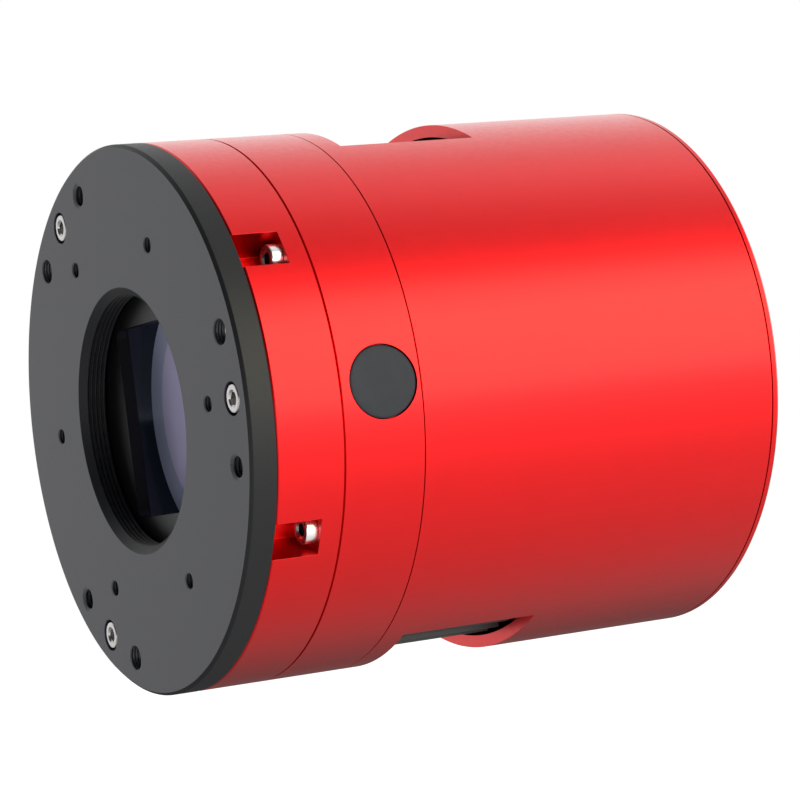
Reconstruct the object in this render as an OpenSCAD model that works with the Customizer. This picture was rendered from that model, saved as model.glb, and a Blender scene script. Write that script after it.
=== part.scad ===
// Cooled astronomy camera, Ø90 round body.
// Frame: origin at the centre of the front plate's face, +Y runs back along the
// optical axis, +Z is up, +X is the side with the desiccant port.

/* [Body] */
// Outer diameter of the camera body
body_d = 90; // [89:0.5:91]
// Overall length, front face to rear face
body_len = 97; // [96.5:0.5:99]
// Wall thickness of the main shell
shell_wall = 2.1; // [1.9:0.1:2.3]
// Width of the dark seam groove between two rings
seam_w = 0.34; // [0.2:0.02:0.4]
// Depth of a seam groove
seam_d = 0.6; // [0.3:0.1:0.9]
// Distance from the front face to the seam behind the front ring
front_ring_end = 16; // [15.8:0.1:16.2]
// Distance from the front face to the seam behind the chamber ring
chamber_ring_end = 30; // [30:0.1:30.2]

/* [Front plate] */
// Thickness of the tilt plate
plate_t = 4.5; // [4.5:0.1:4.6]
// Chamfer on the outer front edge of the plate
plate_edge = 0.75; // [0.4:0.05:1]
// Minor radius of the M42 x 0.75 telescope thread
t2_r = 20.6; // [20.5:0.05:20.75]
// Radius of the lead-in at the mouth of the thread
t2_mouth_r = 21.85; // [21.2:0.05:22.2]
// Depth of the lead-in
t2_mouth_y = 1.1; // [0.6:0.1:1.4]
// Radius of the circle of adjusting screws
adj_r = 40; // [39.8:0.1:40.2]
// Angle between neighbouring holes of one adjusting set
adj_step = 15; // [14:0.5:16]
// Radius of the circle of six accessory holes
acc_r = 31; // [30.5:0.25:31.5]
// Radius of an accessory hole, M3 at its minor diameter
acc_hole_r = 1.25; // [1.2:0.05:1.3]
// Radius of a spare M4 tapped hole, at its minor diameter
m4_hole_r = 1.65; // [1.6:0.05:1.7]

/* [Windows in the front ring] */
// Half width of a screw window, along the rim
win_half = 3.05; // [2.8:0.05:3.2]
// Distance from the front face to the rear wall of a window
win_end = 12.35; // [12.1:0.05:12.4]
// Depth of a window from the outer surface
win_depth = 6.4; // [6:0.1:6.8]
// Radius of the circle of ring screws
ring_screw_r = 42; // [41.8:0.1:42.1]

/* [Cooling vents] */
// Height of the flat that cuts the vent
vent_flat = 40; // [39.5:0.1:40.3]
// Front edge of the vent
vent_y0 = 34; // [33.8:0.1:34.2]
// Rear edge of the vent
vent_y1 = 58.7; // [58:0.1:59]
// Distance between two cooling fins
fin_pitch = 4; // [3.8:0.1:4.4]
// Thickness of a cooling fin
fin_t = 1.2; // [0.8:0.1:1.3]

/* [Optics] */
// Width of the light opening in the baffle
open_x = 26; // [25:0.5:27]
// Height of the light opening in the baffle
open_z = 31.6; // [31:0.2:32]
// Radius of the protective window
glass_r = 24.2; // [24.1:0.05:24.3]
// Distance from the front face to the sensor surface
back_focus = 17.5; // [17.4:0.1:17.6]

/* [Desiccant port] */
// Diameter of the round port cover
port_d = 11.5; // [11.3:0.1:11.8]
// Distance from the front face to the port's centre
port_y = 23.5; // [23.3:0.1:23.6]

/* [Fan and rear] */
// Size of the square fan frame
fan_size = 50; // [49.6:0.1:50]
// Thickness of the fan
fan_t = 10; // [10:0.1:10.4]
// Height of the fan's axis above the optical axis
fan_z = 8; // [7.8:0.1:8.2]
// Number of fan blades
fan_blades = 7; // [5:1:9]

/* [Hidden] */
$fn = 96;
body_r = body_d/2;
shell_ri = body_r - shell_wall;
rear_seam = body_len - 1.5;
cover_in = body_len - 3;
fan_y1 = cover_in;
fan_y0 = fan_y1 - fan_t;
board_y = 74.5;
port_z = -28;
red = [0.80, 0.07, 0.08];
black = [0.13, 0.13, 0.14];
grey = [0.30, 0.31, 0.33];
steel = [0.78, 0.78, 0.80];
pcb = [0.05, 0.28, 0.16];

// ---- helpers ------------------------------------------------------------
module to_y(y0) translate([0, y0, 0]) rotate([-90, 0, 0]) children();
module at_angle(a) rotate([0, -a, 0]) children();
module rod(r, y0, y1, x = 0, z = 0, f = 96) translate([x, y0, z]) rotate([-90, 0, 0]) cylinder(r = r, h = y1 - y0, $fn = f);
module cone(r0, r1, y0, y1, x = 0, z = 0) translate([x, y0, z]) rotate([-90, 0, 0]) cylinder(r1 = r0, r2 = r1, h = y1 - y0);
module ring(ro, ri, y0, y1, x = 0, z = 0) difference() { rod(ro, y0, y1, x, z); rod(ri, y0 - 1, y1 + 1, x, z); }
module hexrod(af, y0, y1, x = 0, z = 0) translate([x, y0, z]) rotate([-90, 0, 0]) cylinder(r = af/sqrt(3), h = y1 - y0, $fn = 6);
module lathe(p) to_y(0) rotate_extrude() polygon(p);
module block(x0, x1, y0, y1, z0, z1) translate([x0, y0, z0]) cube([x1 - x0, y1 - y0, z1 - z0]);
// a rectangle across the optical axis with rounded corners
module slab(w, h, r, y0, y1, x = 0, z = 0) {
    translate([x - w/2, y0, z - h/2 + r]) cube([w, y1 - y0, h - 2*r]);
    translate([x - w/2 + r, y0, z - h/2]) cube([w - 2*r, y1 - y0, h]);
    for (i = [-1, 1], j = [-1, 1]) rod(r, y0, y1, x + i*(w/2 - r), z + j*(h/2 - r), 48);
}
// socket head cap screw along +Y, head face at y0
module cap_screw(d, head_d, head_h, key, y0, len) {
    difference() {
        union() {
            lathe([[0, y0], [head_d/2 - 0.25, y0], [head_d/2, y0 + 0.25], [head_d/2, y0 + head_h], [0, y0 + head_h]]);
            rod(d/2, y0 + head_h - 0.2, y0 + head_h + len);
        }
        hexrod(key, y0 - 1, y0 + head_h*0.55);
    }
}

// ---- front plate and its adjusting screws --------------------------------
module tilt_plate() color(grey) difference() {
    lathe([[t2_mouth_r, 0], [body_r - plate_edge, 0], [body_r, plate_edge], [body_r, plate_t - 0.15], [body_r - 0.15, plate_t],
        [t2_r, plate_t], [t2_r, t2_mouth_y]]);
    for (a = [0:60:300]) at_angle(a) rod(acc_hole_r, -1, plate_t + 1, acc_r);
    for (a = [0:120:240]) {
        at_angle(a - adj_step) { rod(m4_hole_r, -1, plate_t + 1, adj_r); cone(m4_hole_r + 0.45 + 0.1, m4_hole_r, -0.1, 0.45, adj_r); }
        at_angle(a) { rod(2.6, -1, 2.6, adj_r); rod(1.45, 2, plate_t + 1, adj_r); }
        at_angle(a + adj_step) rod(2.05, -1, plate_t + 1, adj_r);
    }
}
module pull_screw(a) color(steel) at_angle(a) translate([adj_r, 0, 0]) cap_screw(2.5, 4.5, 2.5, 2, 0.1, 5.9);
module pull_screw_1() pull_screw(0);
module pull_screw_2() pull_screw(120);
module pull_screw_3() pull_screw(240);
module push_screw(a) color(steel) at_angle(a + adj_step) translate([adj_r, 0, 0]) difference() {
    lathe([[0, 1.5], [1.6, 1.5], [2, 1.8], [2, plate_t - 0.4], [1.6, plate_t], [0, plate_t]]);
    hexrod(2, 0, 3.2);
}
module push_screw_1() push_screw(0);
module push_screw_2() push_screw(120);
module push_screw_3() push_screw(240);

// ---- front ring -----------------------------------------------------------
module front_ring() color(red) difference() {
    lathe([[24.6, plate_t], [body_r - 0.3, plate_t], [body_r, plate_t + 0.3], [body_r, front_ring_end - seam_w/2],
        [body_r - seam_d, front_ring_end - seam_w/2], [body_r - seam_d, front_ring_end], [24.6, front_ring_end]]);
    for (a = [30:60:330]) at_angle(a) {
        block(body_r - win_depth, body_r + 2, plate_t - 1, win_end, -win_half, win_half);
        rod(1.4, win_end - 1, front_ring_end + 1, ring_screw_r);
    }
    for (a = [0:120:240]) at_angle(a) rod(1.33, plate_t - 1, plate_t + 7, adj_r);
}
module front_ring_screws() color(steel) for (a = [30:60:330]) at_angle(a) translate([ring_screw_r, 0, 0])
    cap_screw(2.5, 4.6, 2.0, 2, win_end - 2.0, 8.5);

// ---- optical opening --------------------------------------------------------
module aperture_baffle() color(black) difference() {
    rod(24.5, plate_t + 0.4, 7.5);
    slab(open_x, open_z, 1.5, 0, 10);
    slab(open_x + 2.2, open_z + 2.2, 1.8, 6.7, 10);
}
module window_retainer() color(black) difference() {
    ring(24.5, 22, 7.5, 13.5);
    for (a = [45, 225]) at_angle(a) rod(0.6, 7, 10, 23.3);
}
module protective_window() color([0.45, 0.40, 0.60]) rod(glass_r, 13.5, 15.1);
module window_seal() color(black) ring(23.9, 22.9, 15.1, 15.9);
module dew_heater() color([0.75, 0.45, 0.10]) ring(22, 19.6, 15.1, 15.4);

// ---- sealed sensor chamber --------------------------------------------------
module chamber_ring() color(red) difference() {
    union() {
        lathe([[20.8, front_ring_end], [body_r - seam_d, front_ring_end], [body_r - seam_d, front_ring_end + seam_w/2],
            [body_r, front_ring_end + seam_w/2], [body_r, chamber_ring_end - seam_w/4], [body_r - seam_d, chamber_ring_end - seam_w/4],
            [body_r - seam_d, chamber_ring_end], [31, chamber_ring_end], [31, front_ring_end + 0.8], [20.8, front_ring_end + 0.8]]);
        ring(24.5, 22.4, 15.1, front_ring_end + 0.1);
    }
    ring(23.9, 22.9, 14, 15.9);
    translate([0, port_y, 0]) rotate([0, 90, 0]) {
        translate([0, 0, body_r - 1.5]) cylinder(r = port_d/2 + 0.2, h = 4);
        translate([0, 0, 33.5]) cylinder(r = 4.1, h = 20);
        translate([0, 0, 28]) cylinder(r = 1.5, h = 10);
    }
    for (a = [30:60:330]) at_angle(a) rod(1.25, front_ring_end - 1, 23.5, ring_screw_r);
    for (a = [15:60:315]) at_angle(a) { rod(1.4, front_ring_end - 1, chamber_ring_end + 1, 37); rod(2.5, front_ring_end - 1, front_ring_end + 2.8, 37); }
    ring(32.2, 31.0 - 0.1, chamber_ring_end - 0.8, chamber_ring_end + 1);
}
module chamber_seal() color(black) ring(32.2, 31.2, chamber_ring_end - 0.8, chamber_ring_end);
module chamber_screws() color(steel) for (a = [15:60:315]) at_angle(a) translate([37, 0, 0]) cap_screw(2.5, 4.5, 2.5, 2, front_ring_end + 0.3, chamber_ring_end - front_ring_end);
module desiccant_plug() color(grey) translate([0, port_y, 0]) rotate([0, 90, 0]) difference() {
    union() {
        intersection() {
            translate([0, 0, body_r - 1.5]) cylinder(r = port_d/2, h = 1.4);
            translate([0, 0, 0]) rotate([90, 0, 0]) cylinder(r = body_r - 0.12, h = 40, center = true, $fn = 180);
        }
        translate([0, 0, 39]) cylinder(r = 4.0, h = body_r - 1.2 - 39);
    }
    difference() { translate([0, 0, 40.2]) cylinder(r = 6, h = 1.2); translate([0, 0, 40]) cylinder(r = 3.2, h = 2); }
}
module plug_seal() color(black) translate([0, port_y, 0]) rotate([0, 90, 0]) difference() {
    translate([0, 0, 40.3]) cylinder(r = 4.04, h = 1); translate([0, 0, 40]) cylinder(r = 3.2, h = 2);
}
module desiccant_tablets() color([0.93, 0.93, 0.88]) translate([0, port_y, 0]) rotate([0, 90, 0])
    for (k = [0, 1]) translate([0, 0, 33.5 + k*2.6]) cylinder(r = 3.8, h = 2.5);

// ---- sensor stack -----------------------------------------------------------
pk_y0 = back_focus - 0.7;
pk_y1 = back_focus + 2.2;
bd_y0 = pk_y1;
bd_y1 = pk_y1 + 1.6;
module sensor_package() color([0.35, 0.35, 0.38]) difference() {
    block(-13, 13, pk_y0, pk_y1, -17, 17);
    block(-10, 10, pk_y0 - 1, back_focus + 0.5, -13.4, 13.4);
}
module sensor_die() color([0.25, 0.20, 0.40]) block(-7.85, 7.85, back_focus, back_focus + 0.5, -11.75, 11.75);
module sensor_cover_glass() color([0.65, 0.75, 0.80]) block(-10, 10, pk_y0, pk_y0 + 0.5, -13.4, 13.4);
module sensor_board() color(pcb) difference() {
    rod(28.5, bd_y0, bd_y1);
    block(-9, 9, bd_y0 - 1, bd_y1 + 1, -11, 11);
    for (i = [-1, 1], j = [-1, 1]) rod(1.1, bd_y0 - 1, bd_y1 + 1, i*18, j*18);
}
module board_connector() color(black) block(-1.6, 6, bd_y1, bd_y1 + 2.4, -27.5, -21.5);
module board_standoffs() color([0.85, 0.83, 0.75]) for (i = [-1, 1], j = [-1, 1]) difference() {
    hexrod(4.5, bd_y1, chamber_ring_end, i*18, j*18); rod(1.0, bd_y1 - 1, chamber_ring_end + 1, i*18, j*18);
}
module board_screws() color(steel) for (i = [-1, 1], j = [-1, 1]) translate([i*18, 0, j*18]) difference() {
    union() { rod(1.9, bd_y0 - 1.3, bd_y0); rod(1.0, bd_y0 - 0.2, bd_y1 + 5); }
    for (t = [0, 90]) rotate([0, t, 0]) block(-1.2, 1.2, bd_y0 - 2, bd_y0 - 0.7, -0.2, 0.2);
}
module cold_finger() color([0.80, 0.50, 0.32]) { block(-8.5, 8.5, pk_y1, 24, -10.5, 10.5); block(-14, 14, 22.4, 24.4, -14, 14); }
module insulation_collar() color([0.20, 0.20, 0.22]) difference() { block(-15.6, 15.6, 24.4, 28.2, -15.6, 15.6); block(-15.1, 15.1, 24, 29, -15.1, 15.1); }
module tec_cold_plate() color([0.92, 0.92, 0.90]) block(-15, 15, 24.4, 25.2, -15, 15);
module tec_elements() color([0.40, 0.40, 0.42]) for (i = [-4:4], j = [-4:4]) block(i*3.2 - 0.8, i*3.2 + 0.8, 25.2, 27.4, j*3.2 - 0.8, j*3.2 + 0.8);
module tec_hot_plate() color([0.92, 0.92, 0.90]) block(-15, 15, 27.4, 28.2, -15, 15);
module tec_leads() color([0.75, 0.10, 0.10]) for (i = [-1, 1]) { rod(0.7, 30.0, board_y, 10 + i*1.2, -26.5, 24); block(10 + i*1.2 - 0.6, 10 + i*1.2 + 0.6, 28.6, 30.2, -27.1, -15.7); }

// ---- heat sink ----------------------------------------------------------------
hs_y0 = 28.2;
module heatsink_base() color(black) difference() {
    union() { rod(30.6, hs_y0 + 1.9, 33.2); block(-16, 16, hs_y0, hs_y0 + 2, -16, 16); rod(42.4, 33.2, 34.6); rod(32.8, chamber_ring_end, 33.3); }
    block(0.9, 3.1, 20, 40, -31, -21);
    block(7.8, 12.2, 20, 40, -27.8, -25.3);
    block(7.8, 12.2, 20, 30.2, -27.8, -15.5);
    for (a = [0:90:270]) at_angle(a) rod(1.3, 30.5, 40, 36);
}
module fin(x) { h = sqrt(42.4*42.4 - x*x) - 0.02; block(x - fin_t/2, x + fin_t/2, 34.6, vent_y1 - 0.2, -h, h); }
module heatsink_fins() color(black) difference() {
    union() { for (i = [-10:10]) if (abs(i*fin_pitch) < 41) intersection() { fin(i*fin_pitch); rod(42.4, 34, 60); } rod(42.4, 34.6, 35.0); }
    block(7.6, 12.4, 30, 70, -28, -25.1);
    block(0.9, 3.1, 30, 36, -31, -21);
    for (a = [0:90:270]) at_angle(a) rod(2.6, 30, 70, 36);
}
module heatsink_screws() color(steel) for (a = [0:90:270]) at_angle(a) translate([36, 0, 0]) mirror([0, 1, 0]) translate([0, -36.8, 0]) cap_screw(2.5, 4.5, 2.2, 2, 0, 4.2);
module sensor_flex() color([0.75, 0.50, 0.15]) { block(1.8, 2.2, bd_y1 + 2.4, board_y, -30, -22); }

// ---- main shell ------------------------------------------------------------------
boss_a = [25, 155, 205, 335];
module main_shell() color(red) difference() {
    union() {
        lathe([[body_r - seam_d, chamber_ring_end], [body_r - seam_d, chamber_ring_end + seam_w/4], [body_r, chamber_ring_end + seam_w/4],
            [body_r, rear_seam - seam_w/3], [body_r - seam_d, rear_seam - seam_w/3], [body_r - seam_d, rear_seam],
            [shell_ri, rear_seam], [shell_ri, chamber_ring_end + 3], [33.2, chamber_ring_end + 3], [33.2, chamber_ring_end]]);
        intersection() {
            for (a = boss_a) at_angle(a) { rod(3.2, cover_in - 9, cover_in, 40); block(40, 44, cover_in - 9, cover_in, -2.2, 2.2); }
            rod(body_r - 1, 50, 96);
        }
    }
    for (s = [0, 180]) rotate([0, s, 0]) block(-30, 30, vent_y0, vent_y1, vent_flat, 60);
    for (a = [15:60:315]) at_angle(a) rod(1.25, 29, 34, 37);
    for (a = [0:90:270]) at_angle(a) rod(1.25, 29, 34, 36);
    for (a = boss_a) at_angle(a) rod(1.25, cover_in - 7, 99, 40);
}

// ---- electronics -------------------------------------------------------------------
module main_board() color(pcb) difference() {
    rod(41.5, board_y, board_y + 1.6);
    rod(21, board_y - 1, board_y + 3, 0, fan_z);
    for (a = boss_a) at_angle(a) rod(4.2, board_y - 1, board_y + 3, 40);
    for (p = so_pts) rod(1.6, board_y - 1, board_y + 3, p[0], p[1]);
}
so_pts = [[38, 0], [-38, 0], [31.5, -21], [-31.5, -21]];
module board_chips() color([0.08, 0.08, 0.09]) {
    block(-7, 7, board_y - 1.2, board_y, -37.5, -31.5);
    block(-27, -18, board_y - 1, board_y, -29, -20);
    block(16, 25, board_y - 1, board_y, -29, -20);
    for (i = [-1, 1]) block(i*28 - 3, i*28 + 3, board_y - 1, board_y, 10, 20);
    for (k = [-2:2]) block(k*4 - 1, k*4 + 1, board_y - 2.6, board_y, 32, 36);
}
module buffer_memory() color([0.06, 0.06, 0.07]) for (s = [-1, 1]) block(s*31 - 4, s*31 + 4, board_y - 1.1, board_y, -13, 2);
module main_standoffs() color([0.80, 0.70, 0.35]) for (p = so_pts) difference() {
    hexrod(5, board_y + 1.6, cover_in, p[0], p[1]); rod(1.25, board_y, cover_in + 1, p[0], p[1]);
}
module main_board_screws() color(steel) for (p = so_pts) translate([p[0], 0, p[1]]) difference() {
    union() { rod(2.4, board_y - 1.6, board_y); rod(1.25, board_y - 0.2, board_y + 6); }
    for (t = [0, 90]) rotate([0, t, 0]) block(-1.5, 1.5, board_y - 2, board_y - 0.8, -0.25, 0.25);
}

// ---- fan -----------------------------------------------------------------------------
fan_h = fan_size/2;
module fan_frame() color(black) difference() {
    union() {
        difference() { slab(fan_size, fan_size, 3, fan_y0, fan_y1, 0, fan_z); rod(fan_h - 1.2, fan_y0 - 1, fan_y1 + 1, 0, fan_z); }
        difference() {
            union() {
                rod(11, fan_y0, fan_y0 + 1.4, 0, fan_z);
                for (a = [0:90:270]) translate([0, 0, fan_z]) at_angle(a + 20) block(8, fan_h - 0.6, fan_y0, fan_y0 + 1.4, -1.2, 1.2);
            }
            rod(3.0, fan_y0 - 1, fan_y0 + 3, 0, fan_z);
        }
        ring(3.6, 3.0, fan_y0, fan_y0 + 6.5, 0, fan_z);
    }
    for (i = [-1, 1], j = [-1, 1]) rod(1.6, fan_y0 - 1, fan_y1 + 1, i*20, fan_z + j*20);
    for (i = [-1, 1], s = [0, 180]) translate([0, 0, fan_z]) rotate([0, s, 0]) block(i*20 - 2.4, i*20 + 2.4, fan_y0 + 2.4, fan_y1 - 2.4, 21, 30);
}
module fan_bearing() color([0.70, 0.55, 0.25]) ring(3.0, 1.03, fan_y0 + 0.2, fan_y0 + 6.3, 0, fan_z);
module fan_coil() color([0.72, 0.40, 0.20]) translate([0, 0, fan_z]) difference() {
    union() { ring(4.4, 3.65, fan_y0 + 2.0, fan_y0 + 6.0); for (a = [0:90:270]) at_angle(a) { block(4.1, 7.6, fan_y0 + 2.2, fan_y0 + 5.8, -2.2, 2.2); intersection() { ring(8.4, 7.4, fan_y0 + 2.2, fan_y0 + 5.8); block(0, 20, 0, 200, -4, 4); } } }
    rod(3.65, 0, 200);
}
module fan_shaft() color(steel) rod(1.0, fan_y0 + 0.4, fan_y1 - 1.0, 0, fan_z);
module fan_magnet() color([0.25, 0.24, 0.24]) ring(10.0, 8.8, fan_y0 + 2.0, fan_y0 + 6.4, 0, fan_z);
module fan_rotor() color([0.10, 0.10, 0.11]) translate([0, 0, fan_z]) difference() {
    union() {
        rod(11, fan_y0 + 1.9, fan_y1 - 0.7);
        for (k = [0:fan_blades - 1]) at_angle(k*360/fan_blades) fan_blade();
    }
    rod(10.0, 0, fan_y0 + 7.2);
    rod(1.0, 0, fan_y1 - 1.0);
}
// a flat pitched blade between hub and duct
module fan_blade() intersection() {
    translate([16.4, (fan_y0 + fan_y1)/2 + 0.4, 0]) rotate([38, 0, 0]) cube([13.2, 0.9, 10.5], center = true);
    ring(fan_h - 2.0, 10.5, fan_y0 + 2.0, fan_y1 - 0.9);
}
module fan_screws() color(steel) for (i = [-1, 1], j = [-1, 1]) translate([i*20, 0, fan_z + j*20]) mirror([0, 1, 0]) difference() {
    union() { cone(2.9, 1.5, -(body_len - 0.05), -(body_len - 1.5)); rod(1.5, -(body_len - 1.4), -(fan_y0 + 0.6)); }
    hexrod(2, -body_len - 1, -(body_len - 1.1));
}

// ---- rear cover and its sockets --------------------------------------------------------
module rear_cover() color(red) difference() {
    union() {
        lathe([[0, rear_seam], [body_r - seam_d, rear_seam], [body_r - seam_d, rear_seam + seam_w/3], [body_r, rear_seam + seam_w/3],
            [body_r, body_len - 0.6], [body_r - 0.6, body_len], [0, body_len]]);
        rod(shell_ri - 0.15, cover_in, rear_seam + 0.1);
    }
    // air slots, three arcs of four
    translate([0, 0, fan_z]) for (r = [8, 13.2, 18.4]) difference() {
        ring(r + 3.6, r, cover_in - 1, body_len + 1);
        for (a = [45:90:315]) at_angle(a) block(0, 30, cover_in - 2, body_len + 2, -1.3, 1.3);
    }
    for (i = [-1, 1], j = [-1, 1]) { cone(1.65, 3.05, body_len - 1.45, body_len + 0.01, i*20, fan_z + j*20); rod(1.65, cover_in - 1, body_len + 1, i*20, fan_z + j*20); }
    for (a = boss_a) at_angle(a) { cone(1.4, 2.85, body_len - 1.5, body_len + 0.01, 40); rod(1.4, cover_in - 1, body_len + 1, 40); }
    for (p = so_pts) rod(1.25, cover_in - 1, cover_in + 1.6, p[0], p[1]);
    block(-6.2, 6.2, cover_in - 1, body_len + 1, port_z - 5.6, port_z + 5.6);
    for (z = [-3.9, 3.9]) block(-25.7, -11.9, cover_in - 1, body_len + 1, port_z + 1 + z - 3.05, port_z + 1 + z + 3.05);
    rod(4.1, cover_in - 1, body_len + 1, 18.5, port_z);
}
module cover_screws() color(steel) for (a = boss_a) at_angle(a) translate([40, 0, 0]) mirror([0, 1, 0]) difference() {
    union() { cone(2.7, 1.25, -(body_len - 0.05), -(body_len - 1.5)); rod(1.25, -(body_len - 1.4), -(cover_in - 5)); }
    hexrod(1.5, -body_len - 1, -(body_len - 1.0));
}
module usb3_socket() color(steel) difference() {
    union() {
        difference() { block(-6, 6, board_y + 1.6, body_len - 0.4, port_z - 5.4, port_z + 5.4); block(-5.6, 5.6, board_y + 8, body_len + 1, port_z - 5.0, port_z + 5.0); }
        block(-3.2, 3.2, board_y + 7, body_len - 2.2, port_z - 2.2, port_z + 0.6);
        block(-2.6, 2.6, board_y + 7, body_len - 2.2, port_z + 2.6, port_z + 4.0);
    }
}
module usb2_sockets() color(steel) for (z = [-3.9, 3.9]) translate([-18.8, 0, port_z + 1 + z]) {
    difference() { block(-6.7, 6.7, board_y + 1.6, body_len - 0.4, -2.85, 2.85); block(-6.3, 6.3, board_y + 8, body_len + 1, -2.45, 2.45); }
    block(-5.6, 5.6, board_y + 7, body_len - 2.2, -0.2, 1.6);
}
module dc_socket() color(black) translate([18.5, 0, port_z]) difference() {
    union() { block(-4.6, 4.6, board_y + 1.6, cover_in, -5.4, 4.6); rod(3.95, cover_in - 1, body_len - 0.3); }
    rod(3.15, board_y + 9, body_len + 1);
}
module dc_pin() color(steel) { rod(1.05, board_y + 9.0, body_len - 1.8, 18.5, port_z, 48); rod(3.15, board_y + 9.0, board_y + 9.4, 18.5, port_z, 48); }

tilt_plate();
pull_screw_1();
pull_screw_2();
pull_screw_3();
push_screw_1();
push_screw_2();
push_screw_3();
front_ring();
front_ring_screws();
aperture_baffle();
window_retainer();
protective_window();
window_seal();
dew_heater();
chamber_ring();
chamber_seal();
chamber_screws();
desiccant_plug();
plug_seal();
desiccant_tablets();
sensor_package();
sensor_die();
sensor_cover_glass();
sensor_board();
board_connector();
board_standoffs();
board_screws();
cold_finger();
insulation_collar();
tec_cold_plate();
tec_elements();
tec_hot_plate();
tec_leads();
heatsink_base();
heatsink_fins();
heatsink_screws();
sensor_flex();
main_shell();
main_board();
board_chips();
buffer_memory();
main_standoffs();
main_board_screws();
fan_frame();
fan_coil();
fan_bearing();
fan_rotor();
fan_magnet();
fan_shaft();
fan_screws();
rear_cover();
cover_screws();
usb3_socket();
usb2_sockets();
dc_socket();
dc_pin();
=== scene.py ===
import bpy
import math
import numpy as np
from mathutils import Matrix, Vector


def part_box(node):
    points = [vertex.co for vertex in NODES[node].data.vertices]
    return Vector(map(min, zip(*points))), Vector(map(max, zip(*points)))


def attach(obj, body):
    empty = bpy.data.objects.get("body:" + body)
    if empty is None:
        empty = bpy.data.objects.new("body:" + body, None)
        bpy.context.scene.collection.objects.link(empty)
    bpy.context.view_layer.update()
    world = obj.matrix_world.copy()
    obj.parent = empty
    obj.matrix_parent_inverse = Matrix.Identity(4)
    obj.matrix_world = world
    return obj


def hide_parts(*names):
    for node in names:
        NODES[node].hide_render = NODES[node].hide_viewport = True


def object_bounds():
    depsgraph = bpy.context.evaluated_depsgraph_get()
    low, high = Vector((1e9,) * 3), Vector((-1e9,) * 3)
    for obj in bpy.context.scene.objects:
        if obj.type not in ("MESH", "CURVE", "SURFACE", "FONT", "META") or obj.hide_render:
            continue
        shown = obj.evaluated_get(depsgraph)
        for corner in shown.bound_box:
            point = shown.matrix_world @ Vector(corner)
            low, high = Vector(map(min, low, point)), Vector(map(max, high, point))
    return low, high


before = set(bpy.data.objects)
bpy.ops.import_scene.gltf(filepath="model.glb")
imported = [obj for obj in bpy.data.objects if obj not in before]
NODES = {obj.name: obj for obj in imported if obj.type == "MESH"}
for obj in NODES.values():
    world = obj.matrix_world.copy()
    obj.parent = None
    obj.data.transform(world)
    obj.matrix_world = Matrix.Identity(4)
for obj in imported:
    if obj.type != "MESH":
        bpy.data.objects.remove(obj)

CAD_BOX = [list(map(float, p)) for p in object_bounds()]
MM = 0.001
PI = math.pi
SEG = 288                 # divisions round the large turned parts

# ------------------------------------------------------------------ helpers


def box_mm(node):
    lo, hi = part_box(node)
    return [v / MM for v in lo], [v / MM for v in hi]


def make(name, verts, faces, material=None):
    me = bpy.data.meshes.new(name)
    me.from_pydata([tuple(v) for v in verts], [], [tuple(f) for f in faces])
    me.validate()
    me.update()
    ob = bpy.data.objects.new(name, me)
    bpy.context.scene.collection.objects.link(ob)
    if material:
        me.materials.append(material)
    return ob


def fillet(points, radius, seg=4, closed=True):
    """Rounds the corners of a profile. radius is one number, or one per point."""
    n = len(points)
    rad = list(radius) if isinstance(radius, (list, tuple)) else [radius] * n
    out = []
    for i, p in enumerate(points):
        if rad[i] <= 0 or (not closed and i in (0, n - 1)):
            out.append(tuple(p))
            continue
        p = np.array(p, float)
        a = np.array(points[i - 1], float) - p
        b = np.array(points[(i + 1) % n], float) - p
        la, lb = np.linalg.norm(a), np.linalg.norm(b)
        d = min(rad[i], la * 0.45, lb * 0.45)
        p0, p2 = p + a / la * d, p + b / lb * d
        for k in range(seg + 1):
            t = k / seg
            out.append(tuple((1 - t) ** 2 * p0 + 2 * t * (1 - t) * p + t * t * p2))
    return out


def turned(prof, n=SEG, closed=True, cx=0.0, cz=0.0, phase=0.0):
    """Vertices and faces of a profile of (radius, y) in mm turned round the Y axis.
    An open profile starts and ends on the axis."""
    verts, faces = [], []
    K = len(prof)
    start = {}
    if closed:
        for i in range(n):
            a = 2 * PI * (i + phase) / n
            c, s = math.cos(a), math.sin(a)
            for r, y in prof:
                verts.append(((cx + r * c) * MM, y * MM, (cz + r * s) * MM))
        for i in range(n):
            j = (i + 1) % n
            for k in range(K):
                l = (k + 1) % K
                faces.append((i * K + k, j * K + k, j * K + l, i * K + l))
    else:
        verts.append((cx * MM, prof[0][1] * MM, cz * MM))
        verts.append((cx * MM, prof[-1][1] * MM, cz * MM))
        mid = prof[1:-1]
        M = len(mid)
        for i in range(n):
            a = 2 * PI * (i + phase) / n
            c, s = math.cos(a), math.sin(a)
            for r, y in mid:
                verts.append(((cx + r * c) * MM, y * MM, (cz + r * s) * MM))
        for i in range(n):
            j = (i + 1) % n
            faces.append((0, 2 + j * M, 2 + i * M))
            for k in range(M - 1):
                faces.append((2 + i * M + k, 2 + j * M + k, 2 + j * M + k + 1, 2 + i * M + k + 1))
            faces.append((1, 2 + i * M + M - 1, 2 + j * M + M - 1))
    return verts, faces


def capped(prof, n=SEG):
    """A turned solid whose two flat ends are single faces, from a profile that starts and ends on the axis."""
    ring = prof[1:-1]
    M = len(ring)
    verts, faces = [], []
    for i in range(n):
        a = 2 * PI * i / n
        c, s = math.cos(a), math.sin(a)
        for r, y in ring:
            verts.append((r * c * MM, y * MM, r * s * MM))
    for i in range(n):
        j = (i + 1) % n
        for k in range(M - 1):
            faces.append((i * M + k, j * M + k, j * M + k + 1, i * M + k + 1))
    faces.append(tuple((n - 1 - i) * M for i in range(n)))
    faces.append(tuple(i * M + M - 1 for i in range(n)))
    return verts, faces


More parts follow.
